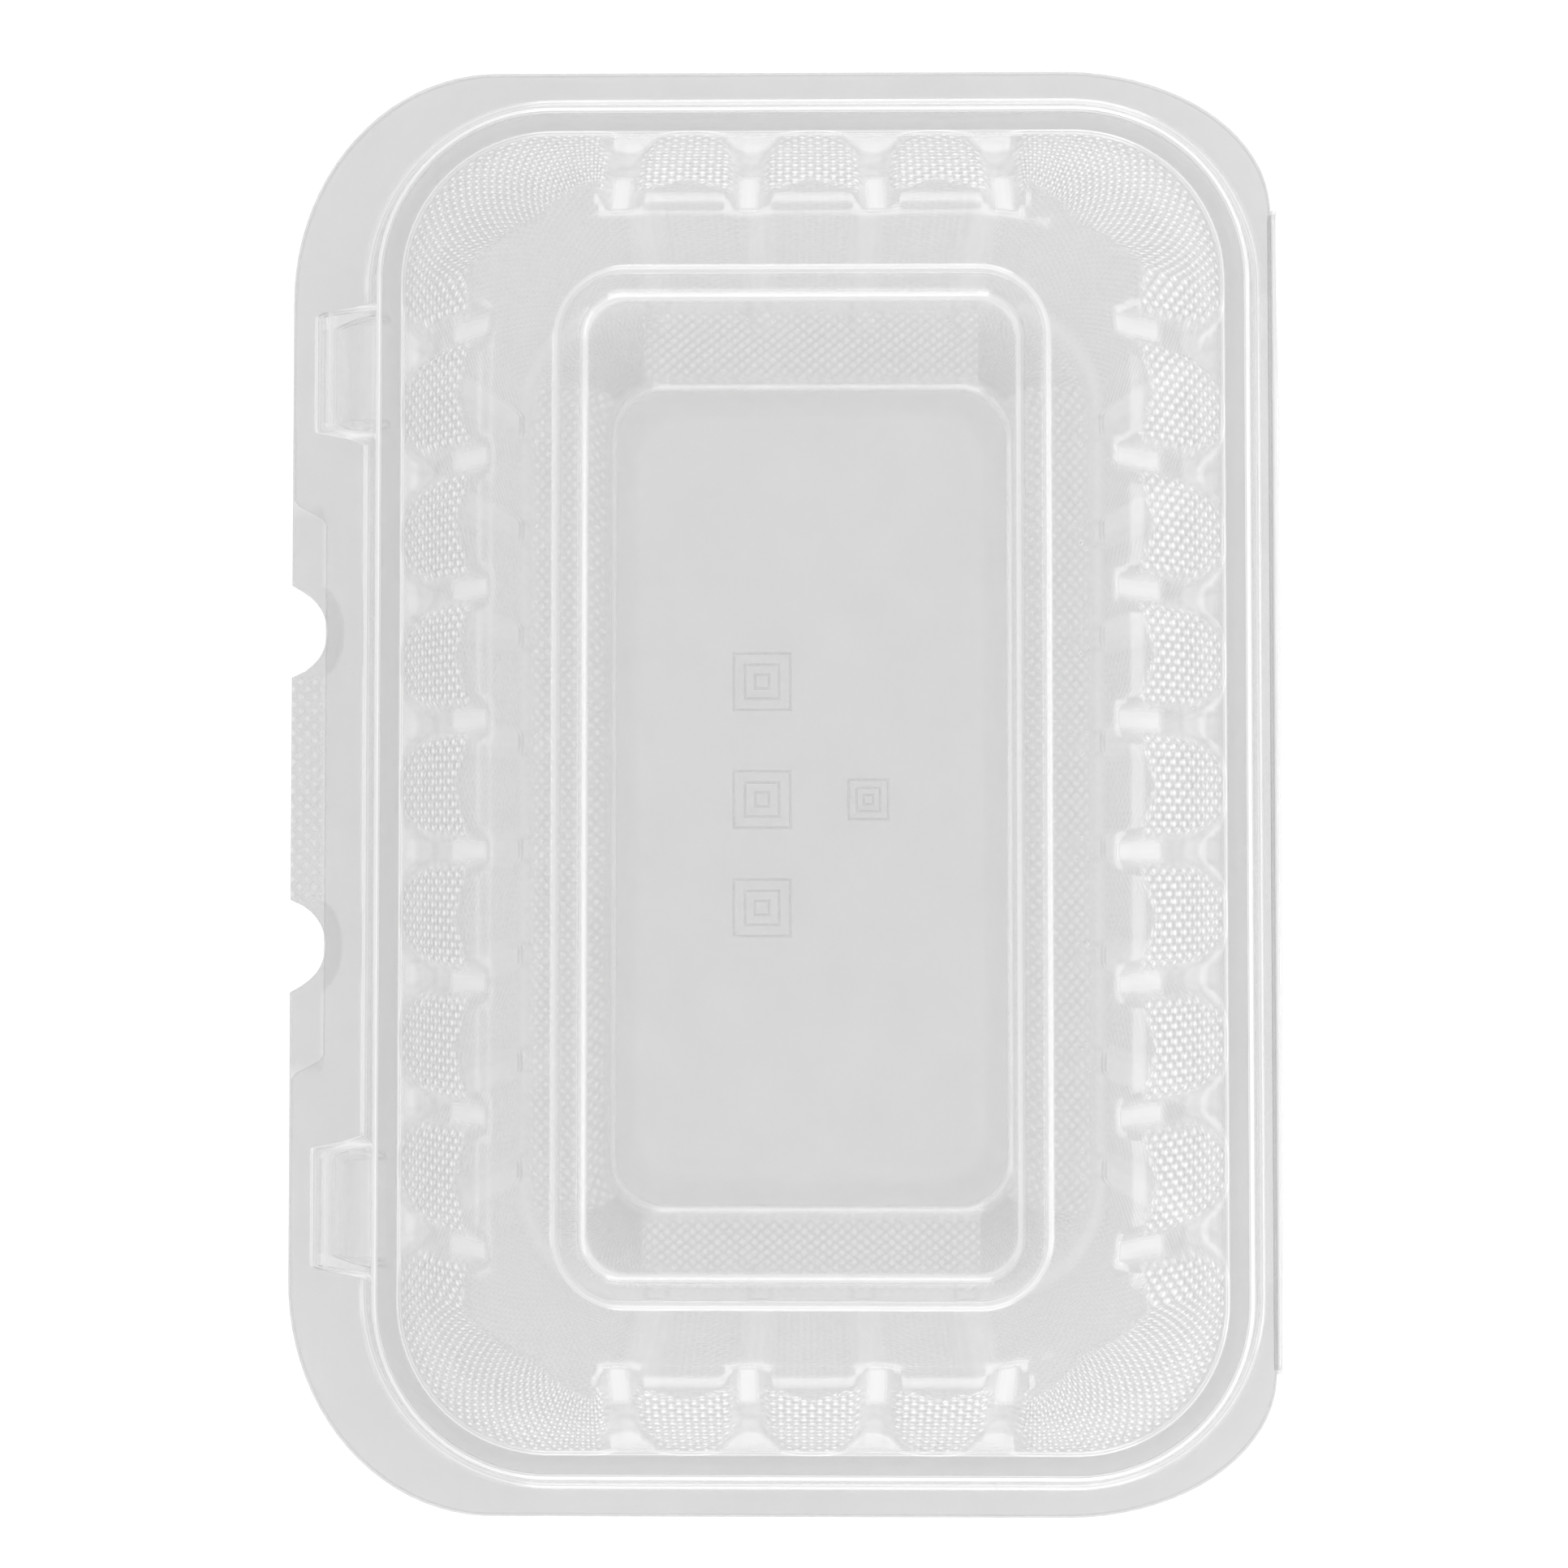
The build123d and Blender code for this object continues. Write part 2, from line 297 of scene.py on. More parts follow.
def plan_at(plan, inset):
    """The outline a distance in from the ring's foot, between the ones that plan lists.

    Each has its half length, its half width, its corner and how far back its middle is.
    """
    for (near, *low), (far, *high) in zip(plan, plan[1:]):
        if inset <= far:
            break
    share = (inset - near) / (far - near)
    half, side, corner, back = (mix(a, b, share) for a, b in zip(low, high))
    return Outline(half, side - back, side + back, (corner, corner), (corner, corner))


ON_THE_BACK = 0.00001  # how near to the back edge an edge counts as hinged
# painted highlight along the lip turned at the hinge
LIP_HIGHLIGHT = 0.8


class Shell:
    """A sheet grown ring by ring from its middle outwards, one point per column.

    Each point knows its column, how far out it is, how grained and how milky the sheet is
    there, and how much painted highlight its fold carries. lay_flat measures the way out in plan.
    """

    def __init__(self, middle, z, lay_flat):
        self.lay_flat = lay_flat
        self.bm = bmesh.new()
        self.slot = self.bm.verts.layers.int.new("slot")
        self.run = self.bm.verts.layers.float.new("run")
        self.stipple = self.bm.verts.layers.float.new("stipple")
        # painted highlight at folds and edges, read by the material
        self.fold = self.bm.verts.layers.float.new("fold")
        self.haze = self.bm.verts.layers.float.new("haze")
        circle = bmesh.ops.create_circle(self.bm, cap_ends=True, segments=len(columns), radius=1)
        self.length = 0.0
        for number, vert in enumerate(circle["verts"]):
            vert[self.slot] = number
            x, y = middle.spot(columns[number])
            vert.co = (x, y + MIDDLE_Y, z)
        self.edges = list(self.bm.edges)

    def ring(self, point, stipple=None, fold=0.0, haze=None):
        """Adds a ring. point gives a column's (x, y, z), and the rest its grain, its painted fold
        highlight and its haze.
        """
        grown = bmesh.ops.extrude_edge_only(self.bm, edges=self.edges)["geom"]
        verts = {item for item in grown if isinstance(item, bmesh.types.BMVert)}
        self.edges = [
            item
            for item in grown
            if isinstance(item, bmesh.types.BMEdge) and all(v in verts for v in item.verts)
        ]
        step = 0.0
        for vert in verts:
            column = columns[vert[self.slot]]
            x, y, z = point(column)
            place = Vector((x, y + MIDDLE_Y, z))
            way = place - vert.co
            length = way.xy.length if self.lay_flat else way.length
            step = max(step, length) if column.kind == "corner" else step
            vert.co = place
            vert[self.stipple] = stipple(column) if stipple else 0.0
            vert[self.fold] = fold(column) if callable(fold) else fold
            vert[self.haze] = haze(column) if haze else 0.0
        self.length += step
        for vert in verts:
            vert[self.run] = self.length

    def lip(self, height):
        """Turns the edge up or down along the hinge, to meet the hinge web."""
        back = FLANGE_BACK + MIDDLE_Y
        hinged = [
            edge
            for edge in self.edges
            if all(abs(v.co.y - back) < ON_THE_BACK and abs(v.co.x) < HINGE_HALF for v in edge.verts)
        ]
        grown = bmesh.ops.extrude_edge_only(self.bm, edges=hinged)["geom"]
        for item in grown:
            if isinstance(item, bmesh.types.BMVert):
                item.co.z = height
                item[self.fold] = LIP_HIGHLIGHT

    def lay_texture(self):
        """A flat map of the sheet, in metres: round the shell and out from its middle."""
        around = [0.0]
        ring = Outline(RING_HALF, RING_SIDE, RING_SIDE, (RING_CORNER,) * 2, (RING_CORNER,) * 2)
        spots = [Vector(ring.spot(column)) for column in columns]
        for here, there in zip(spots, spots[1:] + spots[:1]):
            around.append(around[-1] + (there - here).length)
        layer = self.bm.loops.layers.uv.new("sheet_map")
        for face in self.bm.faces:
            slots = [vert[self.slot] for vert in face.verts]
            wraps = max(slots) - min(slots) > len(columns) / 2
            for corner in face.loops:
                slot = corner.vert[self.slot]
                past_seam = wraps and slot < len(columns) / 2
                place = around[slot] + (around[-1] if past_seam else 0.0)
                corner[layer].uv = (place, corner.vert[self.run])

    def finish(self, name, material, faces_up):
        self.lay_texture()
        bmesh.ops.recalc_face_normals(self.bm, faces=self.bm.faces)
        self.bm.normal_update()
        tilt = sum(face.normal.z * face.calc_area() for face in self.bm.faces)
        if (tilt > 0) != faces_up:
            bmesh.ops.reverse_faces(self.bm, faces=self.bm.faces)
        for face in self.bm.faces:
            face.smooth = True
        mesh = bpy.data.meshes.new(name)
        self.bm.to_mesh(mesh)
        self.bm.free()
        mesh.materials.append(material)
        piece = bpy.data.objects.new(name, mesh)
        piece.visible_shadow = False  # a clear sheet hardly shades the table
        bpy.context.collection.objects.link(piece)
        wall = piece.modifiers.new("wall", "SOLIDIFY")
        wall.thickness = SHEET
        wall.offset = -1.0
        return piece


def rounded(corners, steps=3):
    """A profile through (inset, z, radius) corners, each rounded off by a small arc."""
    profile = [Vector(corners[0][:2])]
    for before, here, after in zip(corners, corners[1:], corners[2:]):
        point = Vector(here[:2])
        back = (Vector(before[:2]) - point).normalized()
        on = (Vector(after[:2]) - point).normalized()
        start, stop = point + back * here[2], point + on * here[2]
        for step in range(steps + 1):
            share = step / steps
            near, far = start.lerp(point, share), point.lerp(stop, share)
            profile.append(near.lerp(far, share))
    profile.append(Vector(corners[-1][:2]))
    return profile


FLANGES_APART = 0.0002  # between the closed flanges
TRAY_LEDGE = tray_high[2] - SHEET  # under the top of the tray's ring
TRAY_UNDER = HINGE_Z - FLANGES_APART / 2 - SHEET  # under the tray's flange
FLOOR_INSET = 0.0154
RIM_INSET = 0.0054
PANEL_RISE = 0.0013
TRAY_PLAN = [
    (-0.001, RING_HALF + 0.001, RING_SIDE + 0.001, RING_CORNER + 0.001, 0.0),
    (RIM_INSET, RING_HALF - RIM_INSET, RING_SIDE - RIM_INSET, 0.0193, 0.0),
    (FLOOR_INSET, RING_HALF - FLOOR_INSET, RING_SIDE - FLOOR_INSET, 0.017, 0.0),
    (0.0257, RING_HALF - 0.0258, RING_SIDE - 0.0267, 0.008, 0.0),
    (0.050, 0.034, 0.006, 0.004, 0.0),
]
TRAY_MIDDLE = 0.050
GROOVE_FOOT = 0.0195  # the grooves run out this far in, on the border of the floor
GROOVE_FOOT_RISE = 0.0015
GROOVE_FOOT_TOP = 0.010
GROOVE_FOOT_HALF = 0.0013
GROOVE_FOOT_SHOULDER = 0.0014
GROOVE_DEPTH = 0.0018
GROOVE_HALF = 0.0017
GROOVE_SHOULDER = 0.0016
GROOVE_START = (0.0035, 0.0075)  # heights between which a groove sinks in, and comes out
GROOVE_STOP = (0.0445, 0.0485)
PILLOW_SWELL = 0.0007
SWELL_FADE = 0.6  # how far out into a corner the swelling goes


def groove_share(distance, half_width, shoulder):
    """1 in the bottom of a groove and 0 on the wall beside it."""
    return 1 - ease(half_width - shoulder / 2, half_width + shoulder / 2, distance)


def tray_relief(column, z):
    """How far the tray's wall lies in from its plain slope, at a height."""
    distance, out = column.from_groove()
    upright = ease(*GROOVE_START, z) * (1 - ease(*GROOVE_STOP, z))
    groove = groove_share(distance, GROOVE_HALF, GROOVE_SHOULDER)
    swell = cos(min(distance / SIDE_PITCH, 0.5) * pi) if column.kind != "corner" else 0.0
    swell = (1 - swell) * (1 - ease(0.0, SWELL_FADE, out))
    return upright * (GROOVE_DEPTH * groove - PILLOW_SWELL * swell * (1 - groove))


SNAP_PLACE = 0.054  # from the container's middle
SNAP_HALF = 0.0077
SNAP_END = 0.0089
SNAP_REACH = 0.0066
SNAP_RISE = 0.0026
STUD_TRIM = 0.0014  # how much smaller the tray's studs are than the blisters over them
# painted highlight round the edges of a snap blister
SNAP_END_HIGHLIGHT = 4
# Each row is a share of the ring's wall, how far the blister stands out there, the share
# of its height, and the painted highlight of the fold on the blister and all round.
SNAP_STEPS = [
    (0.0, 1.0, 0.0, 0.0, 0.8),
    (0.12, 0.97, 0.3, 0.0, 0.1),
    (0.25, 0.93, 0.65, 0.0, 0.1),
    (0.38, 0.88, 0.92, 0.0, 0.1),
    (0.5, 0.8, 1.0, 0.6, 0.1),
    (0.62, 0.45, 1.0, 0.0, 0.1),
    (0.75, 0.1, 1.0, 0.0, 0.1),
    (0.85, 0.0, 1.03, 0.0, 0.1),
]


def blister(column, trim):
    """1 on a snap blister and 0 beside it. trim shortens both ends of the blister."""
    if column.kind != "side" or column.toward_y > 0:
        return 0.0
    return 1 - ease(SNAP_HALF - trim, SNAP_END - trim, abs(abs(column.place) - SNAP_PLACE))


def add_ring_wall(shell, plan, foot, top, trim):
    """The ring's wall, with the blisters that stand out of its front, from the top down."""
    for share, out, lift, on_blister_highlight, fold in reversed(SNAP_STEPS):
        inset, z = mix(foot[0], top[0], share), mix(foot[1], top[1], share)

        def point(column, inset=inset, z=z, out=out, lift=lift):
            on = blister(column, trim)
            x, y = plan_at(plan, inset).spot(column)
            return x, y - on * (SNAP_REACH - trim) * out, mix(z, foot[1] + SNAP_RISE * lift, on)

        # painted highlight along the blister's edges and round the ring
        def crease_highlight(column, on_blister_highlight=on_blister_highlight, fold=fold):
            on = blister(column, trim)
            return max(SNAP_END_HIGHLIGHT * on * (1 - on), on_blister_highlight * on, fold)

        shell.ring(point, None, crease_highlight)


def foot_rise(column, inset):
    """The low ramp on which a groove runs out over the border of the floor."""
    distance, _ = column.from_groove()
    share = groove_share(distance, GROOVE_FOOT_HALF, GROOVE_FOOT_SHOULDER)
    return GROOVE_FOOT_RISE * share * (1 - ease(FLOOR_INSET, GROOVE_FOOT, inset))


GRAIN_CLEAR = 0.0022  # half the width of the bare strip in a groove
GRAIN_START = (0.003, 0.005)
GRAIN_STOP = (0.042, 0.045)


def tray_finish(column, z):
    """The wall's grain, which leaves out the grooves and the top of the wall."""
    distance, _ = column.from_groove()
    beside = 1 - groove_share(distance, GRAIN_CLEAR, GROOVE_SHOULDER)
    return beside * ease(*GRAIN_START, z) * (1 - ease(*GRAIN_STOP, z))


FRONT_CORNER = (0.0298, 0.0264)
BACK_CORNER = (0.0185, 0.027)


def flange_outline(notched):
    """The die-cut edge of a flange. notched gives how far the front is cut back at a column."""
    outer = Outline(FLANGE_HALF, FLANGE_FRONT, FLANGE_BACK, FRONT_CORNER, BACK_CORNER)

    def spot(column):
        x, y = outer.spot(column)
        if column.toward_y < 0 and column.kind == "side":
            y += notched(x)
        return x, y

    return spot


RECESS_DEPTH = 0.0042
RECESS_ENDS = (0.0346, 0.0376)


def tray_recess(x):
    """The tray's edge stands back under the opening tab."""
    return RECESS_DEPTH * (1 - ease(*RECESS_ENDS, abs(x)))


FLANGE_STEPS = (0.06, 0.2, 0.35, 0.5, 0.6, 0.75, 0.97, 1.0)
# painted highlight along the flange's cut edge
CUT_EDGE_HIGHLIGHT = 0.35


def add_flange(shell, foot, trim, z, edge_spot, stipple, haze):
    """The flat flange, from the ring's foot out to its cut edge, round the blisters."""
    for share in FLANGE_STEPS:

        def point(column, share=share):
            near_x, near_y = foot.spot(column)
            far_x, far_y = edge_spot(column)
            near_y -= blister(column, trim) * SNAP_REACH
            return mix(near_x, far_x, share), mix(near_y, far_y, share), z

        grain = partial(stipple, share=share) if stipple else None
        veil = partial(haze, share=share) if haze else None
        shell.ring(point, grain, CUT_EDGE_HIGHLIGHT if share == 1.0 else 0.0, veil)


PANEL = [  # inset, height, grain and painted fold highlight of the floor's raised panel and its step
    (0.046, PANEL_RISE, 0.0, 0.0),
    (0.041, PANEL_RISE, 0.0, 0.0),
    (0.036, PANEL_RISE, 0.0, 0.0),
    (0.031, PANEL_RISE, 0.0, 0.0),
    (0.0275, PANEL_RISE, 0.0, 0.3),
    (0.0270, PANEL_RISE * 0.9, 0.0, 0.9),
    (0.0262, PANEL_RISE * 0.2, 0.0, 0.3),
    (0.0257, 0.0, 0.6, 0.2),
]
BORDER = (0.0245, 0.023, 0.021, 0.0195, 0.0185, 0.0175)
WALL_FOOT = [  # inset, height and radius of its corners, up to the ledge
    (0.0172, 0.0, 0),
    (FLOOR_INSET, 0.0, 0.0016),
    (0.0137, 0.0037, 0.002),
    (RIM_INSET, TRAY_LEDGE, 0),
]
FOOT_STEPS = 5  # of each rounded corner of the wall's foot
WALL_STEPS = 18
# painted highlight on the ramps where the grooves run out over the floor
FOOT_HIGHLIGHT = 0.5
FLOOR_GRAIN_TOP = 0.002
TRAY_RIM = [  # inset, height and painted fold highlight, round on to the ledge
    (0.0055, TRAY_LEDGE - 0.0008, 0.3),
    (0.0052, TRAY_LEDGE - 0.0001, 0.8),
    (0.0048, TRAY_LEDGE, 0.3),
    (0.0040, TRAY_LEDGE, 0.2),
]
TRAY_RING_TOP = (0.0037, TRAY_LEDGE - 0.0001)
TRAY_RING_FOOT = (0.0014, TRAY_UNDER)
TRAY_FLANGE_INSET = 0.0008
# painted highlight along the sides of a groove
GROOVE_HIGHLIGHT = 0.6


def groove_highlight(column):
    """The painted highlight along the sides of a groove."""
    distance, _ = column.from_groove()
    groove = groove_share(distance, GROOVE_HALF, GROOVE_SHOULDER)
    return GROOVE_HIGHLIGHT * groove * (1 - groove)


def make_tray(material):
    shell = Shell(plan_at(TRAY_PLAN, TRAY_MIDDLE), PANEL_RISE, False)

    def flat_ring(inset, z, grain, fold):
        outline = plan_at(TRAY_PLAN, inset)
        shell.ring(lambda c: (*outline.spot(c), z), lambda c: grain, fold)

    for inset, z, grain, fold in PANEL:
        flat_ring(inset, z, grain, fold)
    for inset in BORDER:
        shell.ring(
            lambda c, i=inset: (*plan_at(TRAY_PLAN, i).spot(c), foot_rise(c, i)),
            lambda c, i=inset: 1 - foot_rise(c, i) / GROOVE_FOOT_RISE,
            lambda c, i=inset: FOOT_HIGHLIGHT * foot_rise(c, i) / GROOVE_FOOT_RISE,
        )

    wall = rounded(WALL_FOOT, FOOT_STEPS)
    upper = wall[-1]
    lower = wall[-2]
    climb = [lower.lerp(upper, (i + 1) / WALL_STEPS) for i in range(WALL_STEPS - 1)]
    for inset, z in wall[:-1] + climb:

        def point(column, inset=inset, z=z):
            x, y = plan_at(TRAY_PLAN, inset + tray_relief(column, z)).spot(column)
            return x, y, z + foot_rise(column, inset) * (1 - ease(0.0, GROOVE_FOOT_TOP, z))

        floor_grain = 1 - ease(0.0, FLOOR_GRAIN_TOP, z)
        shell.ring(point, lambda c, z=z, f=floor_grain: max(f, tray_finish(c, z)), groove_highlight)

    for inset, z, fold in TRAY_RIM:
        flat_ring(inset, z, 0.0, fold)
    add_ring_wall(shell, TRAY_PLAN, TRAY_RING_FOOT, TRAY_RING_TOP, STUD_TRIM)
    flange_foot = plan_at(TRAY_PLAN, TRAY_FLANGE_INSET)
    cut = flange_outline(tray_recess)
    add_flange(shell, flange_foot, STUD_TRIM, TRAY_UNDER, cut, None, None)
    shell.lip(HINGE_Z - BULGE)
    return shell.finish("tray_shell", material, False)


STUD_PITCH = 0.0019
STUD_HEIGHT = 0.0003
STUD_STRENGTH = 0.8
BLOTCH = 0.009
SHEET_IOR = 1.9
EDGE_ON_BLEND = 0.35
SHEET_GREY = (0.33, 0.33, 0.33, 1.0)
SHEET_LIT = (0.95, 0.95, 0.95, 1.0)
# How much more of what is behind is hidden where the sheet is milky, seen edge on, folded,
# grained or hazy, and how much nearer to white it is there. At folds this whitening is a painted
# highlight.
MILK_VEIL, EDGE_ON_VEIL, FOLD_HIGHLIGHT_VEIL, GRAIN_VEIL, HAZE_VEIL = 0.02, 0.05, 0.36, 0.05, 0.18
FOLD_HIGHLIGHT, STUD_LIT, GRAIN_LIT = 0.9, 0.8, 0.05
ROUGHNESS, MILK_ROUGHNESS, GRAIN_ROUGHNESS = 0.07, 0.10, 0.12


def math_node(tree, operation, first, second=None):
    node = tree.nodes.new("ShaderNodeMath")
    node.operation = operation
    for socket, value in zip(node.inputs, (first, second)):
        if isinstance(value, (int, float)):
            socket.default_value = value
        elif value is not None:
            tree.links.new(value, socket)
    return node.outputs[0]


def ground_texture(tree, pitch):
    """The mould's cross-hatched grain: low square studs that lie corner to corner."""
    lay = tree.nodes.new("ShaderNodeUVMap")
    lay.uv_map = "sheet_map"
    split = tree.nodes.new("ShaderNodeSeparateXYZ")
    tree.links.new(lay.outputs["UV"], split.inputs[0])
    across, out = split.outputs[0], split.outputs[1]
    waves = []
    for operation in ("ADD", "SUBTRACT"):
        slant = math_node(tree, operation, across, out)
        waves.append(math_node(tree, "SINE", math_node(tree, "MULTIPLY", slant, pi / pitch)))
    crossed = math_node(tree, "MULTIPLY", waves[0], waves[1])
    return math_node(tree, "ABSOLUTE", crossed)


def attribute(tree, name):
    node = tree.nodes.new("ShaderNodeAttribute")
    node.attribute_name = name
    return node.outputs["Fac"]


def noise(tree, size):
    """Soft blotches about size across, fixed in the piece, from 0 to 1."""
    where = tree.nodes.new("ShaderNodeTexCoord")
    node = tree.nodes.new("ShaderNodeTexNoise")
    node.inputs["Scale"].default_value = 1 / size
    node.inputs["Detail"].default_value = 0.0
    tree.links.new(where.outputs["Object"], node.inputs["Vector"])
    return node.outputs["Fac"]


def clear_polypropylene(name, cover, scatter):
    """Clear sheet, a little milky: it shows what is behind it, least so edge on, in its
    folds, which carry a painted highlight, and on the mould's grain, which scatters light."""
    material = bpy.data.materials.new(name)
    material.use_nodes = True
    tree = material.node_tree
    shader = tree.nodes["Principled BSDF"]
    shader.inputs["IOR"].default_value = SHEET_IOR

    grain = attribute(tree, "stipple")
    fold = attribute(tree, "fold")
    haze = attribute(tree, "haze")
    studs = math_node(tree, "MULTIPLY", ground_texture(tree, STUD_PITCH), grain)
    milk = noise(tree, BLOTCH)
    facing = tree.nodes.new("ShaderNodeLayerWeight")
    facing.inputs["Blend"].default_value = EDGE_ON_BLEND

    veil = math_node(tree, "MULTIPLY_ADD", milk, MILK_VEIL)
    veil.node.inputs[2].default_value = cover - MILK_VEIL / 2
    veils = [
        (facing.outputs["Facing"], EDGE_ON_VEIL),
        (fold, FOLD_HIGHLIGHT_VEIL),
        (studs, scatter),
        (grain, GRAIN_VEIL),
        (haze, HAZE_VEIL),
    ]
    for socket, weight in veils:
        veil = math_node(tree, "ADD", veil, math_node(tree, "MULTIPLY", socket, weight))
    tree.links.new(veil, shader.inputs["Alpha"])

    tint = tree.nodes.new("ShaderNodeMix")
    tint.data_type = "RGBA"
    tint.inputs["A"].default_value = SHEET_GREY
    tint.inputs["B"].default_value = SHEET_LIT
    # the fold term whitens the sheet as a painted highlight; the grain and stud terms are the grain's
    # own scatter
    lit = math_node(tree, "MULTIPLY", grain, GRAIN_LIT)
    for socket, weight in ((fold, FOLD_HIGHLIGHT), (studs, STUD_LIT)):
        lit = math_node(tree, "ADD", lit, math_node(tree, "MULTIPLY", socket, weight))
    tree.links.new(math_node(tree, "MINIMUM", lit, 1.0), tint.inputs["Factor"])
    tree.links.new(tint.outputs["Result"], shader.inputs["Base Color"])

    rough = math_node(tree, "ADD", math_node(tree, "MULTIPLY", milk, MILK_ROUGHNESS), ROUGHNESS)
    rough = math_node(tree, "ADD", rough, math_node(tree, "MULTIPLY", grain, GRAIN_ROUGHNESS))
    tree.links.new(rough, shader.inputs["Roughness"])

    bump = tree.nodes.new("ShaderNodeBump")
    bump.inputs["Strength"].default_value = STUD_STRENGTH
    bump.inputs["Distance"].default_value = STUD_HEIGHT
    tree.links.new(studs, bump.inputs["Height"])
    tree.links.new(bump.outputs["Normal"], shader.inputs["Normal"])
    return material


TRAY_COVER = 0.11
TRAY_SCATTER = 0.14

tray_plastic = clear_polypropylene("clear_tray", TRAY_COVER, TRAY_SCATTER)
tray = make_tray(tray_plastic)
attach(tray, "tray")
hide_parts("base_tray")

# ---------------------------------------------------------------------------
# Floor marks: plain squares, one inside the other, raised on the floor's panel by the
# mould, of the tray's own sheet. They stand where such trays carry pressed symbols.
# ---------------------------------------------------------------------------

MARK_RIB = 0.0004
MARK_RISE = 0.0002
# painted highlight on the marks' ribs
MARK_HIGHLIGHT = 0.45
MARK_SINK = 0.00005  # how far a mark's foot lies in the panel
MARKS = [  # place from the tray's middle, and half the size
    (-0.0175, -0.0075, 0.0045),
    (0.0005, -0.0075, 0.0045),
    (0.0170, -0.0075, 0.0045),
    (0.0005, 0.0087, 0.0032),
]
SQUARES = (1.0, 0.62, 0.28)  # one inside the other, shares of a mark's size


def add_square(bm, x, y, half):
    corners = bmesh.ops.create_grid(bm, x_segments=1, y_segments=1, size=half)["verts"]
    foot = PANEL_RISE + SHEET - MARK_SINK
    bmesh.ops.translate(bm, verts=corners, vec=(x, y + MIDDLE_Y, foot))
    middle = corners[0].link_faces[:]
    bmesh.ops.inset_region(
        bm, faces=middle, thickness=MARK_RIB, use_boundary=True, use_even_offset=True
    )
    bmesh.ops.delete(bm, geom=middle, context="FACES_ONLY")


def make_marks(material):
    bm = bmesh.new()
    fold = bm.verts.layers.float.new("fold")
    for x, y, half in MARKS:
        for share in SQUARES:
            add_square(bm, x, y, half * share)
    for vert in bm.verts:
        vert[fold] = MARK_HIGHLIGHT
    mesh = bpy.data.meshes.new("floor_marks")
    bm.to_mesh(mesh)
    bm.free()
    mesh.materials.append(material)
    marks = bpy.data.objects.new("floor_marks", mesh)
    marks.visible_shadow = False
    bpy.context.collection.objects.link(marks)
    rib = marks.modifiers.new("rib", "SOLIDIFY")
    rib.thickness = MARK_RISE
    rib.offset = 1.0
    return marks


marks = make_marks(tray_plastic)
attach(marks, "tray")

# ---------------------------------------------------------------------------
# Lid: the shallow upper half of the same sheet. Swollen pillows between grooves carry
# the dome up from the ring's ledge to a smooth shoulder, and a low stacking bead runs
# round its flat top. The front edge is notched on both sides of the opening tab.
# ---------------------------------------------------------------------------

LID_TOP_OF_FLANGE = lid_low[2] + SHEET
LID_LEDGE = lid_low[2] + 0.004
SHOULDER_Z = lid_low[2] + 0.0195
FLAT_TOP = lid_low[2] + 0.0215
BEAD_TOP = lid_high[2]
SHOULDER_INSET = 0.0199
BEAD_INSET = 0.0282
LID_MIDDLE = 0.0560
DOME_SHIFT = -0.0013  # the dome's top lies this far towards the front
LID_PLAN = [
    (-0.001, RING_HALF + 0.001, RING_SIDE + 0.001, RING_CORNER + 0.001, 0.0),
    (RIM_INSET, RING_HALF - RIM_INSET, RING_SIDE - RIM_INSET, 0.0193, 0.0),
    (SHOULDER_INSET, RING_HALF - SHOULDER_INSET, RING_SIDE - SHOULDER_INSET, 0.016, DOME_SHIFT),
    (BEAD_INSET, RING_HALF - 0.0278, RING_SIDE - 0.0286, 0.0084, DOME_SHIFT),
    (0.0317, RING_HALF - 0.0313, RING_SIDE - 0.0321, 0.0049, DOME_SHIFT),
    (LID_MIDDLE, 0.034, 0.0045, 0.003, DOME_SHIFT),
]
DOME_RUN = SHOULDER_INSET - RIM_INSET
DOME_RISE = SHOULDER_Z - LID_LEDGE
PILLOW_CURVE = 1.55
CORNER_CURVE = 1.2
VALLEY = [  # share of the way in from the ledge, and of the dome's rise
    (0.0, 0.0),
    (0.20, 0.07),
    (0.25, 0.10),
    (0.36, 0.19),
    (0.40, 0.24),
    (0.60, 0.60),
    (0.64, 0.65),
    (1.0, 0.99),
]
VALLEY_FADE = 0.35  # how far out into a corner a valley goes
CURVE_FADE = 0.5
STEM = 0.0019  # half the width of a valley where it is narrow
ARCH = 0.45  # share of the way in at which the valleys start to widen
DOME_STEPS = 32


def dome_valley(column, way):
    """A valley's share at a column. It widens towards the ledge, which rounds the pillows."""
    distance, out = column.from_groove()
    flare = max(0.0, 1 - way / ARCH)
    half_width = STEM + (SIDE_PITCH / 2 - STEM) * (1 - sqrt(1 - flare * flare))
    valley = groove_share(distance, half_width, GROOVE_SHOULDER)
    return valley * (1 - ease(0.0, VALLEY_FADE, out)), out


def valley_height(way):
    for (near, low), (far, high) in zip(VALLEY, VALLEY[1:]):
        if way <= far:
            break
    return mix(low, high, min((way - near) / (far - near), 1.0))


def dome_point(column, way):
    """A point on the dome's wall, a share of the way in from the ledge to the shoulder."""
    valley, out = dome_valley(column, way)
    curve = mix(PILLOW_CURVE, CORNER_CURVE, ease(0.0, CURVE_FADE, out))
    pillow = 1 - (1 - way) ** curve
    z = LID_LEDGE + DOME_RISE * mix(pillow, valley_height(way), valley)
    x, y = plan_at(LID_PLAN, RIM_INSET + DOME_RUN * way).spot(column)
    return x, y, z


PILLOW_END = 0.87
PILLOW_NOTCH = 0.17
CORNER_END = 0.02
GRAIN_FROM = (0.02, 0.06)
GRAIN_BEFORE_END = 0.03
GRAIN_PAST_END = 0.01


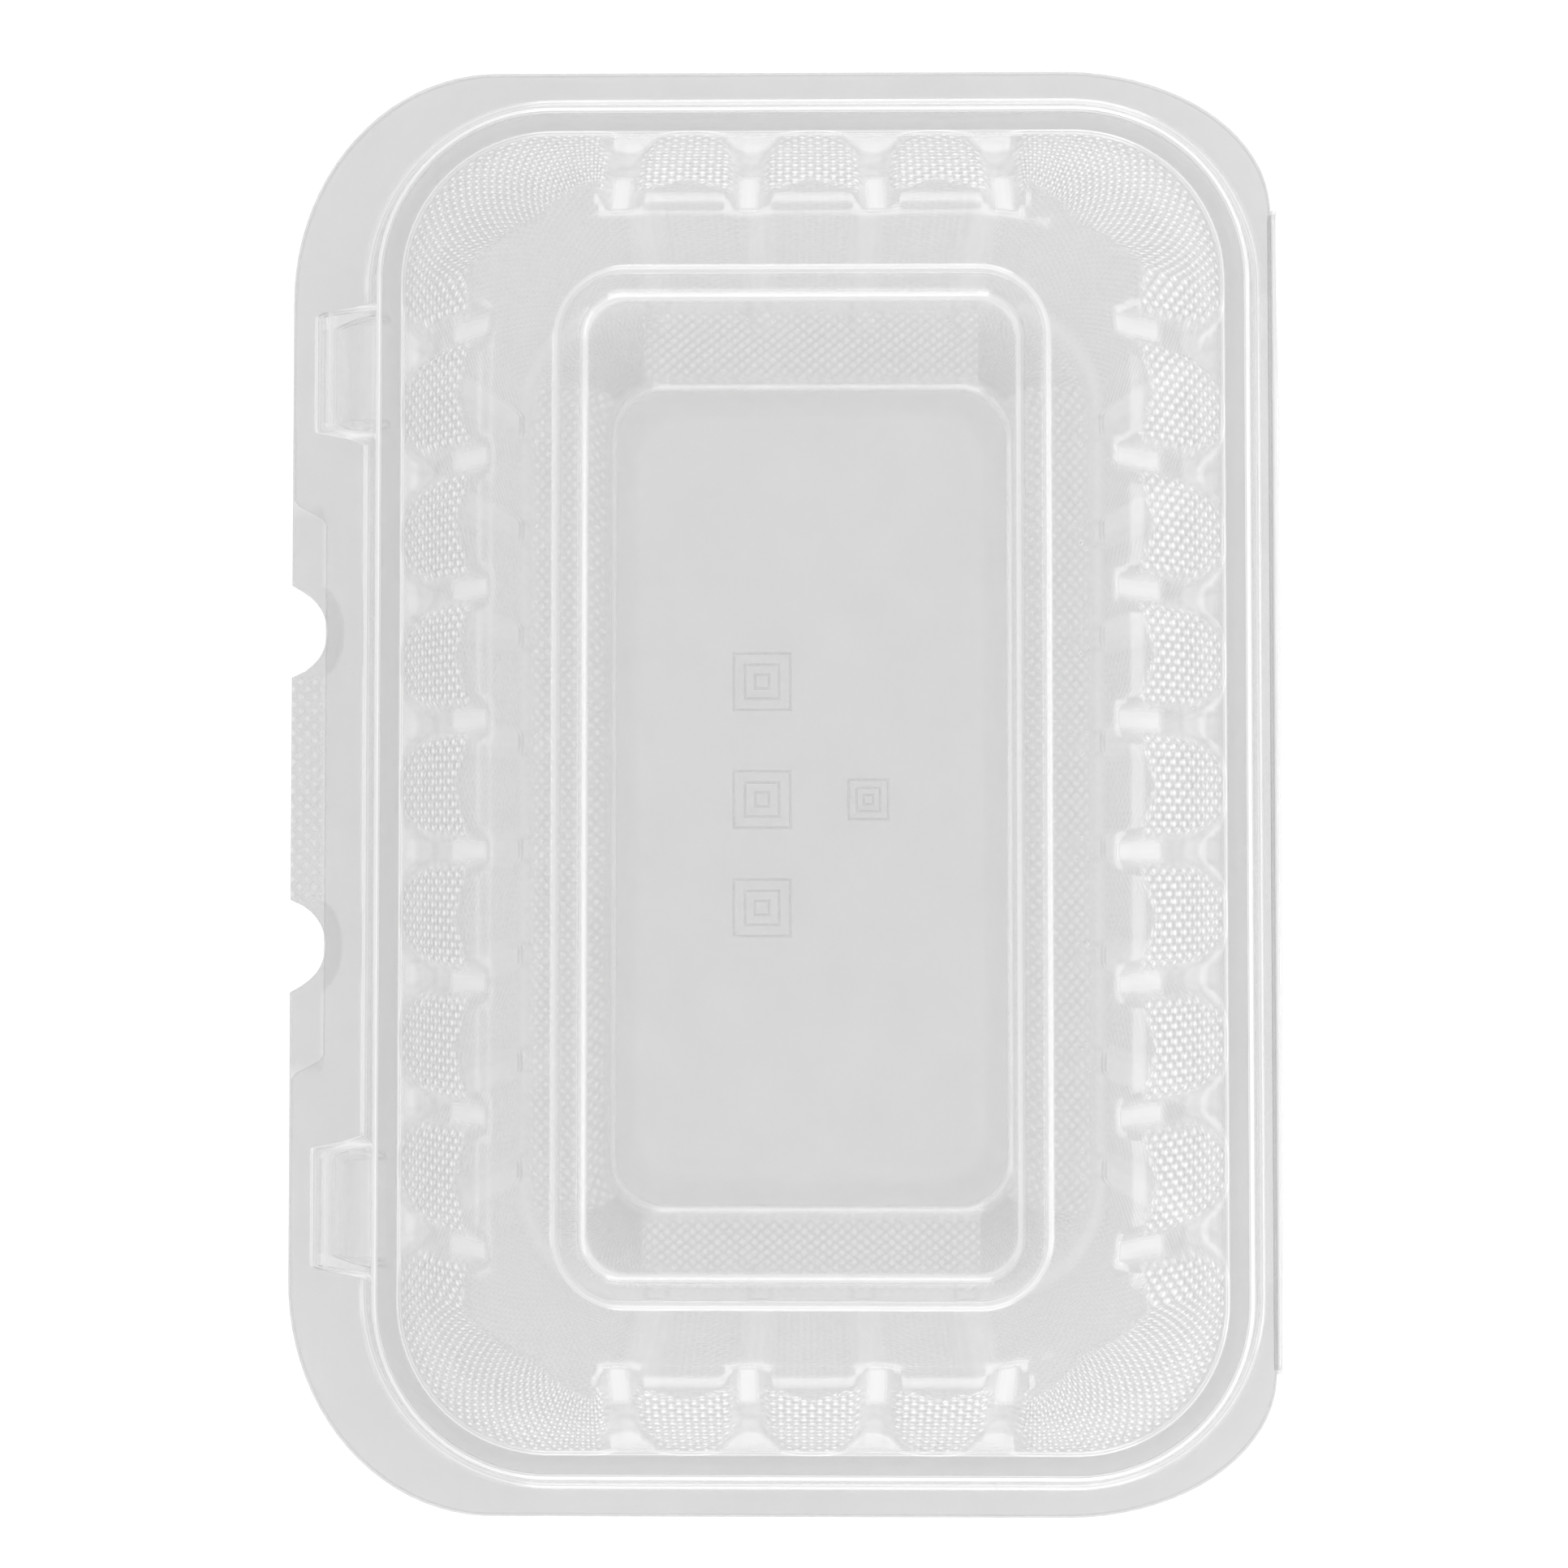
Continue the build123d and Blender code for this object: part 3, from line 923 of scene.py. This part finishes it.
def pillow_end(column):
    """How far in the grained pillow reaches: a shallow V, or a straight line on a corner."""
    distance, out = column.from_groove()
    notch = PILLOW_NOTCH * min(2 * distance / SIDE_PITCH, 1.0) * (1 - out)
    return PILLOW_END - notch + CORNER_END * out


def dome_finish(column, way):
    """The dome's grain, on the pillows only."""
    valley, _ = dome_valley(column, way)
    end = pillow_end(column)
    stop = ease(end - GRAIN_BEFORE_END, end + GRAIN_PAST_END, way)
    return (1 - valley) * ease(*GRAIN_FROM, way) * (1 - stop)


STEM_SIDES = (0.0007, 0.0013)
STEM_FROM = (0.60, 0.64)
FACET_SIDES = (0.0016, 0.0026)
FACET_FROM = (0.22, 0.25)
FACET_TO = (0.36, 0.40)
LINE_WIDTH = 0.03
# strengths of the painted highlights on the dome's folds
SIDES_LIGHT, STEM_LIGHT, FACET_LIGHT, END_LIGHT, FOOT_LIGHT = 1.5, 0.7, 0.4, 0.4, 0.8


def dome_highlight(column, way):
    """The painted highlight on the dome's folds: at a valley's sides, on its steep stem and on
    its facet, along a pillow's end, and where the dome rises from the ledge."""
    valley, out = dome_valley(column, way)
    distance, _ = column.from_groove()
    sides = valley * (1 - valley)
    stem = valley * (1 - ease(*STEM_SIDES, distance)) * ease(*STEM_FROM, way)
    along = ease(*FACET_FROM, way) * (1 - ease(*FACET_TO, way))
    facet = valley * (1 - ease(*FACET_SIDES, distance)) * along
    from_end = abs(way - pillow_end(column))
    end = (1 - valley) * (1 - out) * (1 - ease(0.0, LINE_WIDTH, from_end))
    foot = 1 - ease(0.0, LINE_WIDTH, way)
    light = SIDES_LIGHT * sides + STEM_LIGHT * stem + FACET_LIGHT * facet
    return min(1.0, light + END_LIGHT * end + FOOT_LIGHT * foot)


NOTCH_PLACE = 0.0203
NOTCH_HALF = 0.0059
NOTCH_DEPTH = 0.0045
NOTCH_POWERS = (2.4, 0.8)  # they make the notch fuller than a half circle
TAB_HALF = 0.0145
TAB_GRAIN = 0.4
TAB_GRAIN_FROM = (0.45, 0.6)
BACK_HAZE, FLANGE_HAZE, FRONT_HAZE, LEDGE_HAZE = 0.15, 0.4, 0.9, 0.6
FRONT_HAZE_FROM = (0.5, 0.6)
FRONT_HAZE_ENDS = (0.0350, 0.0375)


def tab_edge(x):
    """The two notches that free the opening tab."""
    past = min(abs(abs(x) - NOTCH_PLACE) / NOTCH_HALF, 1.0)
    fuller, rounder = NOTCH_POWERS
    return NOTCH_DEPTH * (1 - past**fuller) ** rounder


def tab_grain(column, share):
    on_tab = column.kind == "side" and column.toward_y < 0 and abs(column.place) < TAB_HALF
    return TAB_GRAIN * ease(*TAB_GRAIN_FROM, share) if on_tab else 0.0


def flange_haze(column, share):
    """The flange is milkiest at its drawn-out front, round the tab."""
    if column.kind != "side":
        return FLANGE_HAZE
    if column.toward_y > 0:
        return BACK_HAZE
    front = ease(*FRONT_HAZE_FROM, share) * (1 - ease(*FRONT_HAZE_ENDS, abs(column.place)))
    return mix(FLANGE_HAZE, FRONT_HAZE, front)


TOP = [  # inset of the flat top, and how far it sags
    (0.052, 0.00028),
    (0.047, 0.00022),
    (0.042, 0.00015),
    (0.037, 0.00008),
    (0.0335, 0.00002),
]
TOP_SAG = 0.0003
BEAD = [  # inset, height and radius of its corners
    (0.0328, FLAT_TOP, 0),
    (0.0319, FLAT_TOP, 0.0005),
    (0.0309, BEAD_TOP, 0.0005),
    (0.0291, BEAD_TOP, 0.0005),
    (0.0281, FLAT_TOP, 0.0005),
    (0.0265, FLAT_TOP - 0.0004, 0),
]
BEAD_FOOT = (0.0277, 0.0324)
BEAD_FOOT_HEIGHT = 0.0005
# painted highlights at the bead's foot and over the bead
BEAD_FOOT_HIGHLIGHT = 0.7
BEAD_HIGHLIGHT = 0.12
SHOULDER = (0.0245, 0.0225, 0.0212, 0.0205)
SHOULDER_CURVE = 0.8
LEDGE = [  # inset, height and radius, from the dome's foot over the ledge's edge
    (RIM_INSET, LID_LEDGE, 0),
    (0.0050, LID_LEDGE, 0.0001),
    (0.0023, LID_LEDGE, 0.0005),
    (0.0018, LID_LEDGE - 0.0009, 0),
]
LEDGE_LINE = 0.0052
LEDGE_DROP = 0.00004
# painted highlight along the ledge's edge
LEDGE_HIGHLIGHT = 0.9
LID_RING_FOOT = (0.0003, LID_TOP_OF_FLANGE)
LID_RING_TOP = (0.0019, LID_LEDGE - 0.0007)
LID_FLANGE_INSET = -0.0002


def make_lid(material):
    shell = Shell(plan_at(LID_PLAN, LID_MIDDLE), FLAT_TOP - TOP_SAG, True)

    def flat_ring(inset, z, fold=0.0, haze=0.0):
        outline = plan_at(LID_PLAN, inset)
        shell.ring(lambda c: (*outline.spot(c), z), None, fold, lambda c: haze)

    for inset, sag in TOP:
        flat_ring(inset, FLAT_TOP - sag)
    for inset, z in rounded(BEAD):
        at_foot = z < FLAT_TOP + BEAD_FOOT_HEIGHT and BEAD_FOOT[0] < inset < BEAD_FOOT[1]
        flat_ring(inset, z, BEAD_FOOT_HIGHLIGHT if at_foot else BEAD_HIGHLIGHT)
    for inset in SHOULDER:
        share = (inset - SHOULDER_INSET) / (BEAD_INSET - SHOULDER_INSET)
        flat_ring(inset, mix(SHOULDER_Z, FLAT_TOP, share**SHOULDER_CURVE))

    for step in range(DOME_STEPS, 0, -1):
        way = step / DOME_STEPS
        shell.ring(
            lambda c, w=way: dome_point(c, w),
            lambda c, w=way: dome_finish(c, w),
            lambda c, w=way: dome_highlight(c, w),
        )
    for inset, z in rounded(LEDGE)[:-1]:
        on_edge = inset > LEDGE_LINE or z < LID_LEDGE - LEDGE_DROP
        flat_ring(inset, z, LEDGE_HIGHLIGHT if on_edge else 0.0, LEDGE_HAZE)
    add_ring_wall(shell, LID_PLAN, LID_RING_FOOT, LID_RING_TOP, 0.0)
    flange_foot = plan_at(LID_PLAN, LID_FLANGE_INSET)
    cut = flange_outline(tab_edge)
    add_flange(shell, flange_foot, 0.0, LID_TOP_OF_FLANGE, cut, tab_grain, flange_haze)
    shell.lip(HINGE_Z + BULGE)
    return shell.finish("lid_shell", material, True)


LID_COVER = 0.19
LID_SCATTER = 0.30

lid = make_lid(clear_polypropylene("clear_lid", LID_COVER, LID_SCATTER))
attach(lid, "lid")
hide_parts("lid_cover")

# ---------------------------------------------------------------------------
# Hinge web: a strip of the same sheet along the back, pressed thin and rolled outwards,
# where the real sheet bends when the lid turns; this roll stays fixed. It joins the turned edges of
# both flanges.
# ---------------------------------------------------------------------------

WEB_SHEET = 0.0003
WEB_STEPS = 16
WEB_CELL = 0.0015
WEB_TAPER = 0.35  # how much less the roll stands out at its ends
WEB_TAPER_REACH = 0.16
# painted highlight over the roll, strongest where it stands out furthest
WEB_HIGHLIGHT = 0.75
WEB_EDGE_HIGHLIGHT = 0.2
WEB_COVER = 0.19
WEB_SCATTER = 0.20


def make_hinge_web(material):
    bm = bmesh.new()
    along = int(2 * HINGE_HALF / WEB_CELL)
    bmesh.ops.create_grid(bm, x_segments=along, y_segments=WEB_STEPS, size=0.5)
    fold = bm.verts.layers.float.new("fold")
    bm.verts.layers.float.new("stipple")
    for vert in bm.verts:
        share_x, share = vert.co.x + 0.5, vert.co.y + 0.5
        angle = (share - 0.5) * pi
        from_end = min(share_x, 1 - share_x)
        taper = 1 - WEB_TAPER * (1 - ease(0.0, WEB_TAPER_REACH, from_end))
        x = mix(-HINGE_HALF, HINGE_HALF, share_x)
        y = FLANGE_BACK + MIDDLE_Y + BULGE * cos(angle) * taper
        vert.co = (x, y, HINGE_Z + BULGE * sin(angle))
        vert[fold] = WEB_HIGHLIGHT + WEB_EDGE_HIGHLIGHT * cos(angle) ** 2
    lay = bm.loops.layers.uv.new("sheet_map")
    for face in bm.faces:
        face.smooth = True
        for corner in face.loops:
            corner[lay].uv = (corner.vert.co.x, corner.vert.co.z)
    bmesh.ops.recalc_face_normals(bm, faces=bm.faces)
    bm.normal_update()
    if sum(face.normal.y for face in bm.faces) < 0:
        bmesh.ops.reverse_faces(bm, faces=bm.faces)
    mesh = bpy.data.meshes.new("hinge_roll")
    bm.to_mesh(mesh)
    bm.free()
    mesh.materials.append(material)
    web = bpy.data.objects.new("hinge_roll", mesh)
    web.visible_shadow = False
    bpy.context.collection.objects.link(web)
    wall = web.modifiers.new("wall", "SOLIDIFY")
    wall.thickness = WEB_SHEET
    wall.offset = -1.0
    return web


web = make_hinge_web(clear_polypropylene("clear_hinge", WEB_COVER, WEB_SCATTER))
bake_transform(web)
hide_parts("hinge_web")
